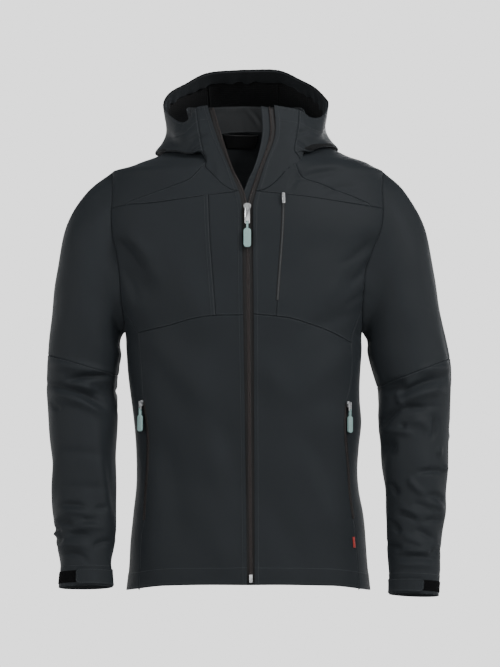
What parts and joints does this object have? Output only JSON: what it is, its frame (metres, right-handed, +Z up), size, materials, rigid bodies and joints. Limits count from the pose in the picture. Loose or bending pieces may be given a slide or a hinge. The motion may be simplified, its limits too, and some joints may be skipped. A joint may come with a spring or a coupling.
{
  "type": "softshell jacket",
  "caption": "Hooded softshell jacket, filled out as worn, with the collar zip part open, long sleeves, hand and chest pockets and cuff tabs.",
  "frame": {"origin": "between the shoulders at the height of the base of the neck, where the wearer's shoulders carry the jacket", "axes": "+Z up, -Y out of the front, +X towards the wearer's left"},
  "size_m": [0.6874, 0.3118, 0.9059],
  "materials": {
    "shell": "matt woven softshell, dark anthracite",
    "lining": "brushed, matt",
    "zip_tape": "woven tape, dark brown black",
    "metal": "silver, satin",
    "grip": "moulded, grey green",
    "black_trim": "looped or woven, matt",
    "red_tag": "woven, matt"
  },
  "bodies": {
    "jacket": {"front_lower_R": "shell", "chest_inner_R": "shell", "chest_outer_R": "shell", "yoke_R": "shell", "shoulder_R": "shell", "side_panel_R": "shell", "front_lower_L": "shell", "chest_inner_L": "shell", "chest_outer_L": "shell", "yoke_L": "shell", "shoulder_L": "shell", "side_panel_L": "shell", "back_panel": "shell", "collar_front_R": "shell", "hood_side_R": "shell", "hood_centre": "shell", "hood_side_L": "shell", "collar_front_L": "shell", "collar_stand": "lining", "sleeve_upper_R": "shell", "sleeve_lower_R": "shell", "sleeve_upper_L": "shell", "sleeve_lower_L": "shell", "zip_tape_R": "zip_tape", "zip_tape_L": "zip_tape", "wind_flap": "lining", "pocket_zip_R": "zip_tape", "pocket_zip_L": "zip_tape", "chest_zip": "zip_tape", "side_tag": "red_tag", "neck_label": "black_trim", "cuff_patch_R": "black_trim", "cuff_tab_R": "shell", "cuff_patch_L": "black_trim", "cuff_tab_L": "shell", "zip_slider": "metal", "chest_slider": "metal", "pocket_R_slider": "metal", "pocket_L_slider": "metal", "zip_bottom_stop": "metal"},
    "main_pull": {"zip_pull": "metal", "zip_grip": "grip"},
    "chest_pull_tab": {"chest_pull": "metal"},
    "pocket_pull_R": {"pocket_R_pull": "metal", "pocket_R_grip": "grip"},
    "pocket_pull_L": {"pocket_L_pull": "metal", "pocket_L_grip": "grip"}
  },
  "joints": [
    {"name": "main_pull_swing", "type": "hinge", "parent": "jacket", "child": "main_pull", "pos_m": [-0.0045, -0.11866, -0.08827], "axis": [-1, 0, 0], "range_deg": [0, 150]},
    {"name": "chest_pull_tab_swing", "type": "hinge", "parent": "jacket", "child": "chest_pull_tab", "pos_m": [0.05515, -0.11244, -0.06641], "axis": [-0.9955, -0.0949, 0], "range_deg": [0, 150]},
    {"name": "pocket_pull_R_swing", "type": "hinge", "parent": "jacket", "child": "pocket_pull_R", "pos_m": [-0.18333, -0.06873, -0.411], "axis": [-0.6776, 0.7354, 0], "range_deg": [0, 150]},
    {"name": "pocket_pull_L_swing", "type": "hinge", "parent": "jacket", "child": "pocket_pull_L", "pos_m": [0.16671, -0.07201, -0.413], "axis": [-0.7101, -0.7041, 0], "range_deg": [0, 150]}
  ]
}
